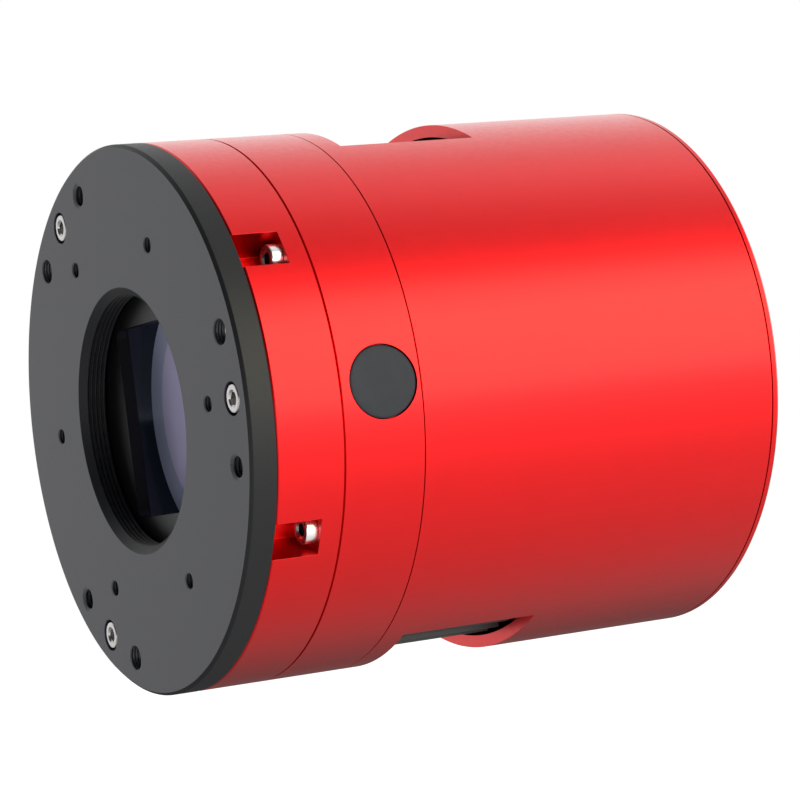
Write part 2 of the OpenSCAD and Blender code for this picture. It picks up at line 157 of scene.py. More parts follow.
def signed_volume(verts, faces):
    v = 0.0
    for f in faces:
        a = verts[f[0]]
        for k in range(1, len(f) - 1):
            b, c = verts[f[k]], verts[f[k + 1]]
            v += (a[0] * (b[1] * c[2] - b[2] * c[1]) - a[1] * (b[0] * c[2] - b[2] * c[0]) + a[2] * (b[0] * c[1] - b[1] * c[0]))
    return v


def outward(vf):
    verts, faces = vf
    if signed_volume(verts, faces) < 0:
        faces = [tuple(reversed(f)) for f in faces]
    return verts, faces


def join(*parts):
    verts, faces = [], []
    for v, f in parts:
        o = len(verts)
        verts += list(v)
        faces += [tuple(i + o for i in q) for q in f]
    return verts, faces


def moved(vf, matrix):
    verts, faces = vf
    return [tuple(matrix @ Vector(v)) for v in verts], faces


def turn_y(deg):
    """Carries +X towards +Z by deg, as the angles of this part are counted."""
    return Matrix.Rotation(-math.radians(deg), 4, "Y")


def shift(x=0, y=0, z=0):
    return Matrix.Translation((x * MM, y * MM, z * MM))


def bar(x0, x1, y0, y1, z0, z1):
    v = [(x * MM, y * MM, z * MM) for x in (x0, x1) for y in (y0, y1) for z in (z0, z1)]
    f = [(0, 1, 3, 2), (4, 6, 7, 5), (0, 4, 5, 1), (2, 3, 7, 6), (0, 2, 6, 4), (1, 5, 7, 3)]
    return outward((v, f))


def prism(points, y0, y1):
    """A closed outline of (x, z) in mm pushed along Y."""
    n = len(points)
    v = [(x * MM, y0 * MM, z * MM) for x, z in points] + [(x * MM, y1 * MM, z * MM) for x, z in points]
    f = [tuple(range(n)), tuple(range(2 * n - 1, n - 1, -1))]
    f += [(i, i + n, (i + 1) % n + n, (i + 1) % n) for i in range(n)]
    return outward((v, f))


def hexagon(across, y0, y1, cx=0, cz=0, turn=0):
    r = across / math.sqrt(3)
    return prism([(cx + r * math.cos(math.radians(60 * k + turn)), cz + r * math.sin(math.radians(60 * k + turn))) for k in range(6)], y0, y1)


def rounded_rect(w, h, r, cx=0, cz=0, seg=6):
    pts = []
    for qx, qz, a0 in ((1, 1, 0), (-1, 1, 90), (-1, -1, 180), (1, -1, 270)):
        for k in range(seg + 1):
            a = math.radians(a0 + 90 * k / seg)
            pts.append((cx + qx * (w / 2 - r) + r * math.cos(a), cz + qz * (h / 2 - r) + r * math.sin(a)))
    return pts


def boolean(ob, vf, op="DIFFERENCE", self_touch=False):
    c = make("cutter", *vf)
    m = ob.modifiers.new("cut", "BOOLEAN")
    m.operation = op
    m.solver = "EXACT"
    m.use_self = self_touch
    m.object = c
    return settle(ob, c)


def settle(ob, *scrap):
    """Turns an object's modifiers into mesh."""
    bpy.context.view_layer.update()
    dg = bpy.context.evaluated_depsgraph_get()
    me = bpy.data.meshes.new_from_object(ob.evaluated_get(dg), preserve_all_data_layers=False, depsgraph=dg)
    old = ob.data
    mats = [m for m in old.materials if m]
    ob.modifiers.clear()
    ob.data = me
    me.materials.clear()
    for m in mats:
        me.materials.append(m)
    me.polygons.foreach_set("material_index", [0] * len(me.polygons))
    bpy.data.meshes.remove(old)
    for s in scrap:
        d = s.data
        bpy.data.objects.remove(s)
        bpy.data.meshes.remove(d)
    return ob


def bevel(ob, width, seg=3, angle=40):
    m = ob.modifiers.new("edge", "BEVEL")
    m.width = width * MM
    m.segments = seg
    m.limit_method = "ANGLE"
    m.angle_limit = math.radians(angle)
    m.use_clamp_overlap = True
    m.miter_outer = "MITER_ARC"
    return ob


def clean(ob, dist=0.004):
    import bmesh
    bm = bmesh.new()
    bm.from_mesh(ob.data)
    bmesh.ops.remove_doubles(bm, verts=bm.verts, dist=dist * MM)
    bmesh.ops.dissolve_degenerate(bm, edges=bm.edges, dist=dist * MM)
    bm.to_mesh(ob.data)
    bm.free()
    return ob


def shade(ob, angle=32, turned_part=False):
    """Smooth where the surface is smooth. A turned part's cylinders get their true normals."""
    me = ob.data
    me.polygons.foreach_set("use_smooth", [True] * len(me.polygons))
    me.set_sharp_from_angle(angle=math.radians(angle))
    if not turned_part:
        return ob
    co = np.empty(len(me.vertices) * 3)
    me.vertices.foreach_get("co", co)
    co = co.reshape(-1, 3)
    rad = np.hypot(co[:, 0], co[:, 2])
    rdir = np.stack([co[:, 0], np.zeros(len(co)), co[:, 2]], 1) / np.maximum(rad, 1e-9)[:, None]
    corner = np.empty(len(me.loops) * 3)
    me.corner_normals.foreach_get("vector", corner)
    corner = corner.reshape(-1, 3)
    kind = np.zeros(len(me.polygons), int)
    on_cyl, on_flat = {}, {}
    polys = me.polygons
    slope = {}
    late = []
    for p in polys:
        vs = list(p.vertices)
        n = p.normal
        ys = co[vs][:, 1]
        if ys.max() - ys.min() < 2e-6:
            kind[p.index] = 1
            if abs(n.y) > 0.9:
                for v in vs:
                    on_flat[v] = (0.0, math.copysign(1.0, n.y), 0.0)
            else:
                late.append(p.index)
            continue
        rr = rad[vs]
        c = co[vs].mean(0)
        q = math.hypot(c[0], c[2])
        if rr.mean() < 0.012:
            continue
        d = (n.x * c[0] + n.z * c[2]) / max(q, 1e-9)
        if rr.max() - rr.min() < 2e-6 and abs(d) > 0.995:
            kind[p.index] = 2
            s = 1.0 if d > 0 else -1.0
            for v in vs:
                on_cyl[v] = tuple(rdir[v] * s)
        elif d * d + n.y * n.y > 0.999 and math.hypot(ys.max() - ys.min(), rr.max() - rr.min()) > 0.0004:
            kind[p.index] = 3
            slope[p.index] = (d, n.y)
    for p in polys:
        for li in p.loop_indices:
            v = me.loops[li].vertex_index
            k = kind[p.index]
            if k == 1:
                if v in on_flat:
                    corner[li] = on_flat[v]
            elif k == 2:
                corner[li] = on_cyl[v]
            elif k == 3:
                d, ny = slope[p.index]
                corner[li] = (rdir[v][0] * d, ny, rdir[v][2] * d)
            else:
                a, b = on_cyl.get(v), on_flat.get(v)
                n = p.normal
                if a and not b and abs(n.x * a[0] + n.y * a[1] + n.z * a[2]) > 0.5:
                    corner[li] = a
                elif b and not a and abs(n.y) > 0.5:
                    corner[li] = b
    me.normals_split_custom_set([tuple(c) for c in corner])
    return ob


def put(ob, body, *nodes, slot=None):
    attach(ob, body)
    if nodes:
        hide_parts(*nodes)
    return ob

# ---------------------------------------------------------------- materials


class Look:
    """A small builder for procedural materials in object space, in metres."""

    def __init__(self, name, base, rough, metal=0.0, **sockets):
        self.m = bpy.data.materials.new(name)
        self.m.use_nodes = True
        self.t = self.m.node_tree
        self.b = self.t.nodes["Principled BSDF"]
        self.base = tuple(base)
        self.rough = rough
        self.b.inputs["Base Color"].default_value = (*base, 1)
        self.b.inputs["Roughness"].default_value = rough
        self.b.inputs["Metallic"].default_value = metal
        for k, v in sockets.items():
            self.b.inputs[k.replace("_", " ")].default_value = v
        self.co = self.t.nodes.new("ShaderNodeTexCoord").outputs["Object"]
        self.color = None
        self.ro = None
        self.normal = None
        self.m.diffuse_color = (*base, 1)

    def mapped(self, scale):
        n = self.t.nodes.new("ShaderNodeMapping")
        n.inputs["Scale"].default_value = scale
        self.t.links.new(self.co, n.inputs["Vector"])
        return n.outputs["Vector"]

    def noise(self, scale, detail=3.0, rough=0.55, stretch=(1, 1, 1), distortion=0.0):
        n = self.t.nodes.new("ShaderNodeTexNoise")
        n.inputs["Scale"].default_value = scale
        n.inputs["Detail"].default_value = detail
        n.inputs["Roughness"].default_value = rough
        n.inputs["Distortion"].default_value = distortion
        self.t.links.new(self.mapped(stretch), n.inputs["Vector"])
        return n.outputs["Fac"]

    def voronoi(self, scale, feature="F1", stretch=(1, 1, 1), out="Distance"):
        n = self.t.nodes.new("ShaderNodeTexVoronoi")
        n.feature = feature
        n.inputs["Scale"].default_value = scale
        self.t.links.new(self.mapped(stretch), n.inputs["Vector"])
        return n.outputs[out]

    def ramp(self, fac, stops):
        n = self.t.nodes.new("ShaderNodeValToRGB")
        e = n.color_ramp.elements
        while len(e) > 2:
            e.remove(e[-1])
        for i, (p, c) in enumerate(stops):
            if i > 1:
                e.new(p)
            e[i].position = p
            e[i].color = (*c, 1) if isinstance(c, (tuple, list)) else (c, c, c, 1)
        self.t.links.new(fac, n.inputs["Fac"])
        return n.outputs["Color"]

    def math(self, op, a, b=0.0, c=None, clamp=False):
        n = self.t.nodes.new("ShaderNodeMath")
        n.operation = op
        n.use_clamp = clamp
        for i, v in enumerate((a, b, c)):
            if v is None:
                continue
            if isinstance(v, (int, float)):
                n.inputs[i].default_value = v
            else:
                self.t.links.new(v, n.inputs[i])
        return n.outputs[0]

    def mix(self, fac, a, b, blend="MIX"):
        n = self.t.nodes.new("ShaderNodeMix")
        n.data_type = "RGBA"
        n.blend_type = blend
        for key, v in (("Factor", fac), ("A", a), ("B", b)):
            sock = [s for s in n.inputs if s.name == key and (s.type == ("VALUE" if key == "Factor" else "RGBA"))][0]
            if isinstance(v, (int, float)):
                sock.default_value = v
            elif isinstance(v, (tuple, list)):
                sock.default_value = (*v, 1)
            else:
                self.t.links.new(v, sock)
        return [s for s in n.outputs if s.type == "RGBA"][0]

    def tint(self, fac, amount):
        """Varies the colour by amount either way with fac."""
        lo = tuple(min(1, c * (1 - amount)) for c in self.base)
        hi = tuple(min(1, c * (1 + amount) + 0.002 * amount) for c in self.base)
        src = self.mix(fac, lo, hi)
        self.color = src if self.color is None else self.mix(0.5, self.color, src)
        return self

    def gloss(self, fac, amount):
        n = self.t.nodes.new("ShaderNodeMapRange")
        n.inputs["From Min"].default_value = 0.25
        n.inputs["From Max"].default_value = 0.75
        n.inputs["To Min"].default_value = max(0.02, self.rough - amount)
        n.inputs["To Max"].default_value = min(1.0, self.rough + amount)
        self.t.links.new(fac, n.inputs["Value"])
        self.ro = n.outputs["Result"]
        return self

    def bump(self, height, strength, distance):
        n = self.t.nodes.new("ShaderNodeBump")
        n.inputs["Strength"].default_value = strength
        n.inputs["Distance"].default_value = distance
        self.t.links.new(height, n.inputs["Height"])
        if self.normal is not None:
            self.t.links.new(self.normal, n.inputs["Normal"])
        self.normal = n.outputs["Normal"]
        return self

    def xyz(self):
        n = self.t.nodes.new("ShaderNodeSeparateXYZ")
        self.t.links.new(self.co, n.inputs["Vector"])
        return n.outputs["X"], n.outputs["Y"], n.outputs["Z"]

    def done(self):
        if self.color is not None:
            self.t.links.new(self.color, self.b.inputs["Base Color"])
        if self.ro is not None:
            self.t.links.new(self.ro, self.b.inputs["Roughness"])
        if self.normal is not None:
            self.t.links.new(self.normal, self.b.inputs["Normal"])
        return self.m


def anodised_red():
    L = Look("red_anodised", (0.74, 0.0052, 0.0072), 0.38, 1.0, Coat_Weight=0.92, Coat_Roughness=0.22, Coat_IOR=1.28)
    L.tint(L.noise(160, 2), 0.035)
    L.gloss(L.noise(900, 3), 0.045)
    L.bump(L.noise(5200, 2, 0.6), 0.10, 0.00002)
    L.bump(L.noise(60, 2, 0.5, stretch=(1, 95, 1)), 0.06, 0.00001)
    return L.done()


def anodised_black(name="black_anodised", base=(0.018, 0.0195, 0.031), rough=0.47, grain=0.34):
    L = Look(name, base, rough, 0.0)
    L.tint(L.noise(4200, 2, 0.7), 0.30)
    L.gloss(L.noise(3600, 2, 0.6), 0.05)
    L.bump(L.noise(4800, 2, 0.65), grain, 0.00003)
    return L.done()


def steel(name="bright_steel", base=(0.70, 0.70, 0.70), rough=0.27):
    L = Look(name, base, rough, 1.0)
    L.tint(L.noise(1500, 2), 0.05)
    L.gloss(L.noise(2600, 3, stretch=(1, 4, 1)), 0.07)
    L.bump(L.noise(5000, 2, 0.5, stretch=(1, 3, 1)), 0.10, 0.00002)
    return L.done()


def plain(name, base, rough, metal=0.0, var=0.10, scale=1500, bump=0.15, dist=0.00004, **kw):
    L = Look(name, base, rough, metal, **kw)
    L.tint(L.noise(scale, 3), var)
    L.gloss(L.noise(scale * 0.6, 3), 0.07)
    L.bump(L.noise(scale * 2.2, 3), bump, dist)
    return L.done()


RED = anodised_red()
BLACK = anodised_black()
BLACK.node_tree.nodes["Principled BSDF"].inputs["Specular IOR Level"].default_value = 0.74
# Painted shade: a darker, duller black for the plate's outer chamfer and side and its bore lead-in, which the light
# leaves dark.
RIM_SHADE = anodised_black("rim_black_painted_shade", (0.009, 0.0095, 0.012), 0.47)
RIM_SHADE.node_tree.nodes["Principled BSDF"].inputs["Specular IOR Level"].default_value = 0.28
BAFFLE = anodised_black("baffle_black", (0.0035, 0.0037, 0.0045), 0.36)
BAFFLE.node_tree.nodes["Principled BSDF"].inputs["Specular IOR Level"].default_value = 0.24
TUBE = anodised_black("retainer_black", (0.004, 0.005, 0.008), 0.13, 0.08)
TUBE.node_tree.nodes["Principled BSDF"].inputs["Specular IOR Level"].default_value = 0.62
TUBE.node_tree.nodes["Principled BSDF"].inputs["Specular Tint"].default_value = (0.72, 0.86, 1.0, 1)
FIN = anodised_black("fin_black", (0.018, 0.018, 0.019), 0.5)
STEEL = steel("bright_steel", (0.57, 0.56, 0.55), 0.27)
HEADSTEEL = steel("bright_screw_steel", (0.88, 0.88, 0.88), 0.29)
# Painted shade: a dark steel for the walls and floor of the ring screws' hex sockets, where shade falls in the recess.
SOCKET_SHADE = steel("socket_painted_shade", (0.06, 0.062, 0.07), 0.40)
DARKSTEEL = steel("set_screw_steel", (0.80, 0.78, 0.75), 0.42)

# --------------------------------------------------------- the turned shells

BODY_R = 45.0
lo_p, hi_p = box_mm("tilt_plate")
lo_f, hi_f = box_mm("front_ring")
lo_c, hi_c = box_mm("chamber_ring")
lo_s, hi_s = box_mm("main_shell")
lo_r, hi_r = box_mm("rear_cover")
PLATE_T = hi_p[1]
RING_END = hi_f[1]
CHAMBER_END = hi_c[1]
SHELL_END = hi_s[1]
BODY_END = hi_r[1]
BODY_R = hi_s[0]


def thread_cutter(r_major, r_minor, pitch, y0, y1, mouth_r, mouth_y, cx, cz, n=40):
    """A cutter for a tapped hole: a column with ridges and a countersunk mouth."""
    prof = [(0, y0 - 1.0), (mouth_r + 0.6, y0 - 1.0), (mouth_r, y0), (r_minor, y0 + mouth_y)]
    y = y0 + mouth_y + pitch * 0.1
    while y + pitch < y1:
        prof += [(r_minor, y + pitch * 0.12), (r_major, y + pitch * 0.45), (r_major, y + pitch * 0.58), (r_minor, y + pitch * 0.9)]
        y += pitch
    prof += [(r_minor, y1 + 1.0), (0, y1 + 1.0)]
    return outward(turned(prof, n, closed=False, cx=cx, cz=cz))


def plain_cutter(r, y0, y1, cx=0, cz=0, mouth=None, n=48):
    prof = [(0, y0)]
    if mouth:
        my, mr, md = mouth         # face position, mouth radius, depth
        prof += [(mr + (my - y0), y0), (mr, my), (r, my + md)]
    else:
        prof += [(r, y0)]
    prof += [(r, y1), (0, y1)]
    return outward(turned(prof, n, closed=False, cx=cx, cz=cz))


def polar(r, deg):
    return r * math.cos(math.radians(deg)), r * math.sin(math.radians(deg))


def build_plate():
    r_minor, depth, pitch = 20.6, 0.40, 0.75
    mouth_r, mouth_y = 21.85, 1.1
    outer = fillet([(BODY_R - 0.5, 0.0), (BODY_R, 0.5), (BODY_R, PLATE_T - 0.15), (BODY_R - 0.15, PLATE_T)], [0.10, 0.10, 0.05, 0.05], 3, closed=False)
    outer[0] = (BODY_R - 0.5, 0.0)
    ys = np.linspace(PLATE_T, mouth_y, 69)
    verts, faces = [], []
    K = len(outer) + len(ys) + 3
    for i in range(SEG):
        a = 2 * PI * (i + 0.37) / SEG
        c, s = math.cos(a), math.sin(a)
        col = list(outer)
        for y in ys:
            u = (y / pitch + a / (2 * PI)) % 1.0
            f = min(1.0, max(0.0, (0.44 - abs(u - 0.5)) / 0.33)) * depth
            f *= min(1.0, max(0.0, (y - mouth_y) / 0.18))
            col.append((r_minor + f, y))
        col.append((mouth_r - 0.10, 0.09))
        col.append((mouth_r - 0.03, 0.02))
        col.append((mouth_r + 0.05, 0.0))
        for r, y in col:
            verts.append((r * c * MM, y * MM, r * s * MM))
    for i in range(SEG):
        j = (i + 1) % SEG
        for k in range(K):
            l = (k + 1) % K
            faces.append((i * K + k, j * K + k, j * K + l, i * K + l))
    ob = make("tilt_plate_detail", *outward((verts, faces)), BLACK)
    cuts = []
    for k in range(6):
        cuts.append(thread_cutter(1.46, 1.25, 0.5, 0, PLATE_T, 1.50, 0.16, *polar(31, 60 * k)))
    for k in range(3):
        cuts.append(thread_cutter(2.0, 1.65, 0.7, 0, PLATE_T, 2.22, 0.34, *polar(40, 120 * k - 15)))
        cuts.append(thread_cutter(2.14, 2.02, 0.5, 0, PLATE_T, 2.25, 0.14, *polar(40, 120 * k + 15)))
        x, z = polar(40, 120 * k)
        prof = [(0, -1.0), (3.8, -1.0), (2.72, 0.0), (2.64, 0.08), (2.64, 2.6), (1.45, 2.6), (1.45, PLATE_T + 1), (0, PLATE_T + 1)]
        cuts.append(outward(turned(prof, 56, closed=False, cx=x, cz=z)))
    boolean(ob, join(*cuts))
    shade(ob, 35, turned_part=True)
    me = ob.data
    # The outer chamfer and side and the bore's lead-in take the darker black: painted shade.
    me.materials.append(RIM_SHADE)
    for p in me.polygons:
        q = math.hypot(p.center.x, p.center.z) / MM
        if q > BODY_R - 0.49 or q < 21.9:
            p.material_index = 1
    return put(ob, "plate", "tilt_plate", slot="black_anodised")


WIN_END = box_mm("front_ring_screws")[0][1] + 2.0      # rear wall of the windows, where the heads sit
RING_SCREW_R = box_mm("front_ring_screws")[1][2] - 2.3


def build_front_ring():
    y0, y1, g = PLATE_T, RING_END, 0.17
    prof = [(24.6, y0), (BODY_R - 0.3, y0), (BODY_R, y0 + 0.3), (BODY_R, y1 - g), (BODY_R - 0.6, y1 - g), (BODY_R - 0.6, y1), (24.6, y1)]
    prof = fillet(prof, [0.05, 0.03, 0.05, 0.07, 0.04, 0, 0], 3)
    ob = make("front_ring_detail", *outward(turned(prof)), RED)
    cuts = []
    for k in range(6):
        m = turn_y(30 + 60 * k)
        cuts.append(moved(bar(BODY_R - 6.4, BODY_R + 3, y0 - 2, WIN_END, -3.05, 3.05), m))
    boolean(ob, join(*cuts))
    cuts = [plain_cutter(1.4, 11, y1 + 2, *polar(RING_SCREW_R, 30 + 60 * k)) for k in range(6)]
    cuts += [plain_cutter(1.33, y0 - 2, y0 + 7, *polar(40, 120 * k)) for k in range(3)]
    boolean(ob, join(*cuts))
    clean(ob)
    bevel(ob, 0.18, 3, 50)
    settle(ob)
    shade(ob, 35, turned_part=True)
    return put(ob, "camera", "front_ring", slot="red_anodised")


PORT_Y = (box_mm("desiccant_plug")[0][1] + box_mm("desiccant_plug")[1][1]) / 2
PORT_R = (box_mm("desiccant_plug")[1][1] - box_mm("desiccant_plug")[0][1]) / 2


def build_chamber_ring():
    y0, y1 = RING_END, CHAMBER_END
    g0, g1 = 0.17, 0.085
    prof = [(22.4, 15.1), (24.5, 15.1), (24.5, y0), (BODY_R - 0.6, y0), (BODY_R - 0.6, y0 + g0), (BODY_R, y0 + g0), (BODY_R, y1 - g1),
            (BODY_R - 0.6, y1 - g1), (BODY_R - 0.6, y1), (31.05, y1), (31.05, y0 + 0.8), (20.8, y0 + 0.8), (20.8, y0), (22.4, y0)]
    prof = fillet(prof, [0, 0, 0, 0, 0.03, 0.07, 0.07, 0.03, 0, 0.1, 0, 0, 0, 0], 4)
    ob = make("chamber_ring_detail", *outward(turned(prof)), RED)
    rx = shift(0, PORT_Y, 0) @ Matrix.Rotation(-PI / 2, 4, "Z")     # carries +Y to +X
    port = outward(turned([(0, 33.5), (4.1, 33.5), (4.1, BODY_R - 1.5), (PORT_R + 0.13, BODY_R - 1.5), (PORT_R + 0.13, BODY_R + 3), (0, BODY_R + 3)], 128, closed=False))
    boolean(ob, moved(port, rx))
    clean(ob)
    bevel(ob, 0.07, 3, 50)
    settle(ob)
    shade(ob, 35, turned_part=True)
    return put(ob, "camera", "chamber_ring", slot="red_anodised")


BOSS = (25, 155, 205, 335)


def build_shell():
    y0, y1 = CHAMBER_END, SHELL_END
    g0, g1, ri = 0.085, 0.113, BODY_R - 2.1
    prof = [(BODY_R - 0.6, y0), (BODY_R - 0.6, y0 + g0), (BODY_R, y0 + g0), (BODY_R, y1 - g1), (BODY_R - 0.6, y1 - g1), (BODY_R - 0.6, y1),
            (ri, y1), (ri, y0 + 3), (33.2, y0 + 3), (33.2, y0)]
    prof = fillet(prof, [0, 0.03, 0.07, 0.07, 0.03, 0, 0.1, 0.2, 0.1, 0.1], 4)
    ob = make("main_shell_detail", *outward(turned(prof)), RED)
    lo_v, hi_v = 34.0, 58.7
    cuts = [bar(-30, 30, lo_v, hi_v, 40, 60), bar(-30, 30, lo_v, hi_v, -60, -40)]
    boolean(ob, join(*cuts))
    clean(ob)
    bevel(ob, 0.16, 3, 50)
    settle(ob)
    clean(ob, 0.001)
    shade(ob, 35, turned_part=True)
    return put(ob, "camera", "main_shell", slot="red_anodised")


def arc_slot(r0, r1, a0, a1, y0, y1, cz, n=40):
    """A curved slot with round ends, as a prism along Y."""
    rm, hw = (r0 + r1) / 2, (r1 - r0) / 2
    pts = []
    for k in range(n + 1):
        a = math.radians(a0 + (a1 - a0) * k / n)
        pts.append((r1 * math.cos(a), cz + r1 * math.sin(a)))
    for k in range(1, 10):
        t = math.radians(a1) + PI * k / 10
        c = (rm * math.cos(math.radians(a1)), cz + rm * math.sin(math.radians(a1)))
        pts.append((c[0] + hw * math.cos(t), c[1] + hw * math.sin(t)))
    for k in range(n + 1):
        a = math.radians(a1 + (a0 - a1) * k / n)
        pts.append((r0 * math.cos(a), cz + r0 * math.sin(a)))
    for k in range(1, 10):
        t = math.radians(a0) + PI + PI * k / 10
        c = (rm * math.cos(math.radians(a0)), cz + rm * math.sin(math.radians(a0)))
        pts.append((c[0] + hw * math.cos(t), c[1] + hw * math.sin(t)))
    return prism(pts, y0, y1)


FAN_Z = 8.0
PORT_Z = -28.0


def build_rear_cover():
    y0, y1 = SHELL_END, BODY_END
    yi = lo_r[1]
    g = 0.113
    prof = [(0, yi), (BODY_R - 2.25, yi), (BODY_R - 2.25, y0), (BODY_R - 0.6, y0), (BODY_R - 0.6, y0 + g), (BODY_R, y0 + g), (BODY_R, y1 - 0.6), (BODY_R - 0.6, y1), (0, y1)]
    prof = fillet(prof, [0, 0, 0, 0, 0, 0.06, 0.12, 0.12, 0], 4, closed=False)
    ob = make("rear_cover_detail", *outward(capped(prof)), RED)
    cuts = []
    for r in (8.0, 13.2, 18.4):
        r1 = r + 3.6
        rm, hw = r + 1.8, 1.8
        for q in range(4):
            gap = math.degrees((1.3 + hw) / rm)
            cuts.append(arc_slot(r, r1, 45 + 90 * q + gap, 135 + 90 * q - gap, yi - 2, y1 + 2, FAN_Z))
    boolean(ob, join(*cuts))
    cuts = []
    for i in (-1, 1):
        for j in (-1, 1):
            prof = [(0, yi - 2), (1.65, yi - 2), (1.65, y1 - 1.45), (3.05, y1), (4.5, y1 + 1.5), (0, y1 + 1.5)]
            cuts.append(outward(turned(prof, 48, closed=False, cx=i * 20, cz=FAN_Z + j * 20)))
    for a in BOSS:
        prof = [(0, yi - 2), (1.4, yi - 2), (1.4, y1 - 1.5), (2.85, y1), (4.3, y1 + 1.5), (0, y1 + 1.5)]
        x, z = polar(40, a)
        cuts.append(outward(turned(prof, 48, closed=False, cx=x, cz=z)))
    cuts.append(prism([(-6.2, PORT_Z - 5.6), (6.2, PORT_Z - 5.6), (6.2, PORT_Z + 2.6), (4.4, PORT_Z + 5.6), (-4.4, PORT_Z + 5.6), (-6.2, PORT_Z + 2.6)], yi - 2, y1 + 2))
    for z in (-3.9, 3.9):
        cuts.append(prism(rounded_rect(13.8, 6.1, 0.5, -18.8, PORT_Z + 1 + z), yi - 2, y1 + 2))
    cuts.append(plain_cutter(4.1, yi - 2, y1 + 2, 18.5, PORT_Z))
    boolean(ob, join(*cuts))
    clean(ob)
    bevel(ob, 0.14, 3, 50)
    settle(ob)
    shade(ob, 35, turned_part=True)
    return put(ob, "camera", "rear_cover", slot="red_anodised")

# ------------------------------------------------------------------- screws


def cap_screw(d, head_d, head_h, key, length, n=56, knurl=True):
    """Socket head cap screw along +Y with its head's face at y = 0."""
    r = head_d / 2
    prof = fillet([(0, 0), (r, 0), (r, head_h), (d / 2, head_h), (d / 2, head_h + length), (0, head_h + length)], [0, 0.32, 0.12, 0, 0.2, 0], 4, closed=False)
    return outward(turned(prof, n, closed=False)), outward(hexagon(key, -1, head_h * 0.55)), outward(turned([(0, -0.5), (key * 0.577 + 0.78, -0.5), (key * 0.577 - 0.06, 0.30), (0, 0.30)], 48, closed=False))


def screws(name, places, body, node, material, d=2.5, head_d=4.5, head_h=2.5, key=2.0, length=6.0, slot="bright_steel", recess=None):
    solid, hexcut, dish = cap_screw(d, head_d, head_h, key, length)
    one = make(name, *solid, material)
    boolean(one, dish)
    boolean(one, hexcut)
    clean(one, 0.002)
    me = one.data
    v = [tuple(x.co) for x in me.vertices]
    f = [tuple(p.vertices) for p in me.polygons]
    inner = []
    for p in me.polygons:
        q, d = math.hypot(p.center.x, p.center.z) / MM, p.center.y / MM
        inner.append(int(0.05 < d < head_h and q < key * 0.577 + 0.02 and (abs(p.normal.y) < 0.2 or d > 0.4 * head_h)))
    bpy.data.objects.remove(one)
    bpy.data.meshes.remove(me)
    allp = join(*[moved((v, f), m) for m in places])
    ob = make(name, *allp, material)
    # The hex socket faces take the dark steel: painted shade in the recess.
    if recess:
        ob.data.materials.append(recess)
        ob.data.polygons.foreach_set("material_index", inner * len(places))
    shade(ob, 33)
    return put(ob, body, node, slot=slot)


def set_screw(name, place, body, node):
    prof = fillet([(0, 0), (1.55, 0), (1.99, 0.42), (1.99, 2.4), (1.6, 2.8), (0, 2.8)], [0, 0.08, 0.08, 0.08, 0.08, 0], 2, closed=False)
    v, f = outward(turned(prof, 48, closed=False))
    one = make(name, v, f, DARKSTEEL)
    boolean(one, outward(turned([(0, -0.5), (1.73, -0.5), (0.93, 0.19), (0, 0.19)], 46, closed=False)))
    boolean(one, hexagon(2.0, -1, 1.7))
    clean(one, 0.002)
    one.data.transform(place)
    shade(one, 33)
    return put(one, body, node, slot="bright_steel")


def flat_screws(name, places, node, head_r, shank_r, head_h, length, key, body="camera"):
    """Countersunk screws whose face looks along +Y at y = 0, shank towards -Y."""
    prof = fillet([(0, 0), (head_r, 0), (head_r, -0.12), (shank_r, -head_h), (shank_r, -length), (0, -length)], [0, 0.06, 0.04, 0.05, 0.15, 0], 3, closed=False)
    one = make(name, *outward(turned(prof, 56, closed=False)), DARKSTEEL)
    boolean(one, outward(turned([(0, 0.5), (key * 0.577 + 0.5, 0.5), (key * 0.455, -0.11), (0, -0.11)], 46, closed=False)))
    boolean(one, hexagon(key, -1.0, 1.0))
    clean(one, 0.002)
    me = one.data
    v = [tuple(x.co) for x in me.vertices]
    f = [tuple(p.vertices) for p in me.polygons]
    bpy.data.objects.remove(one)
    bpy.data.meshes.remove(me)
    ob = make(name, *join(*[moved((v, f), m) for m in places]), DARKSTEEL)
    shade(ob, 33)
    return put(ob, body, node, slot="bright_steel")


def place(r, deg, y, spin=0):
    return turn_y(deg) @ shift(r, y, 0) @ Matrix.Rotation(math.radians(spin), 4, "Y")


def build_screws():
    for k in range(3):
        screws(f"pull_screw_{k+1}_detail", [place(40, 120 * k, 0.1, 17 * k + 8)], f"pull_{k+1}", f"pull_screw_{k+1}", STEEL, length=5.9)
        set_screw(f"push_screw_{k+1}_detail", place(40, 120 * k + 15, 1.5, 11 * k), f"push_{k+1}", f"push_screw_{k+1}")
    screws("front_ring_screws_detail", [place(RING_SCREW_R, 30 + 60 * k, WIN_END - 2.0, 13 * k + 9) for k in range(6)], "camera", "front_ring_screws", HEADSTEEL, head_d=4.6, head_h=2.0, length=8.5, recess=SOCKET_SHADE)
    y = BODY_END - 0.05
    flat_screws("fan_screws_detail", [shift(i * 20, y, FAN_Z + j * 20) @ Matrix.Rotation(math.radians(20 * i + 9 * j), 4, "Y") for i in (-1, 1) for j in (-1, 1)], "fan_screws", 2.9, 1.5, 1.45, 12.3, 2.0)
    flat_screws("cover_screws_detail", [place(40, a, y, a) for a in BOSS], "cover_screws", 2.7, 1.25, 1.45, 8.0, 1.5)


# -------------------------------------------------------------- port cover


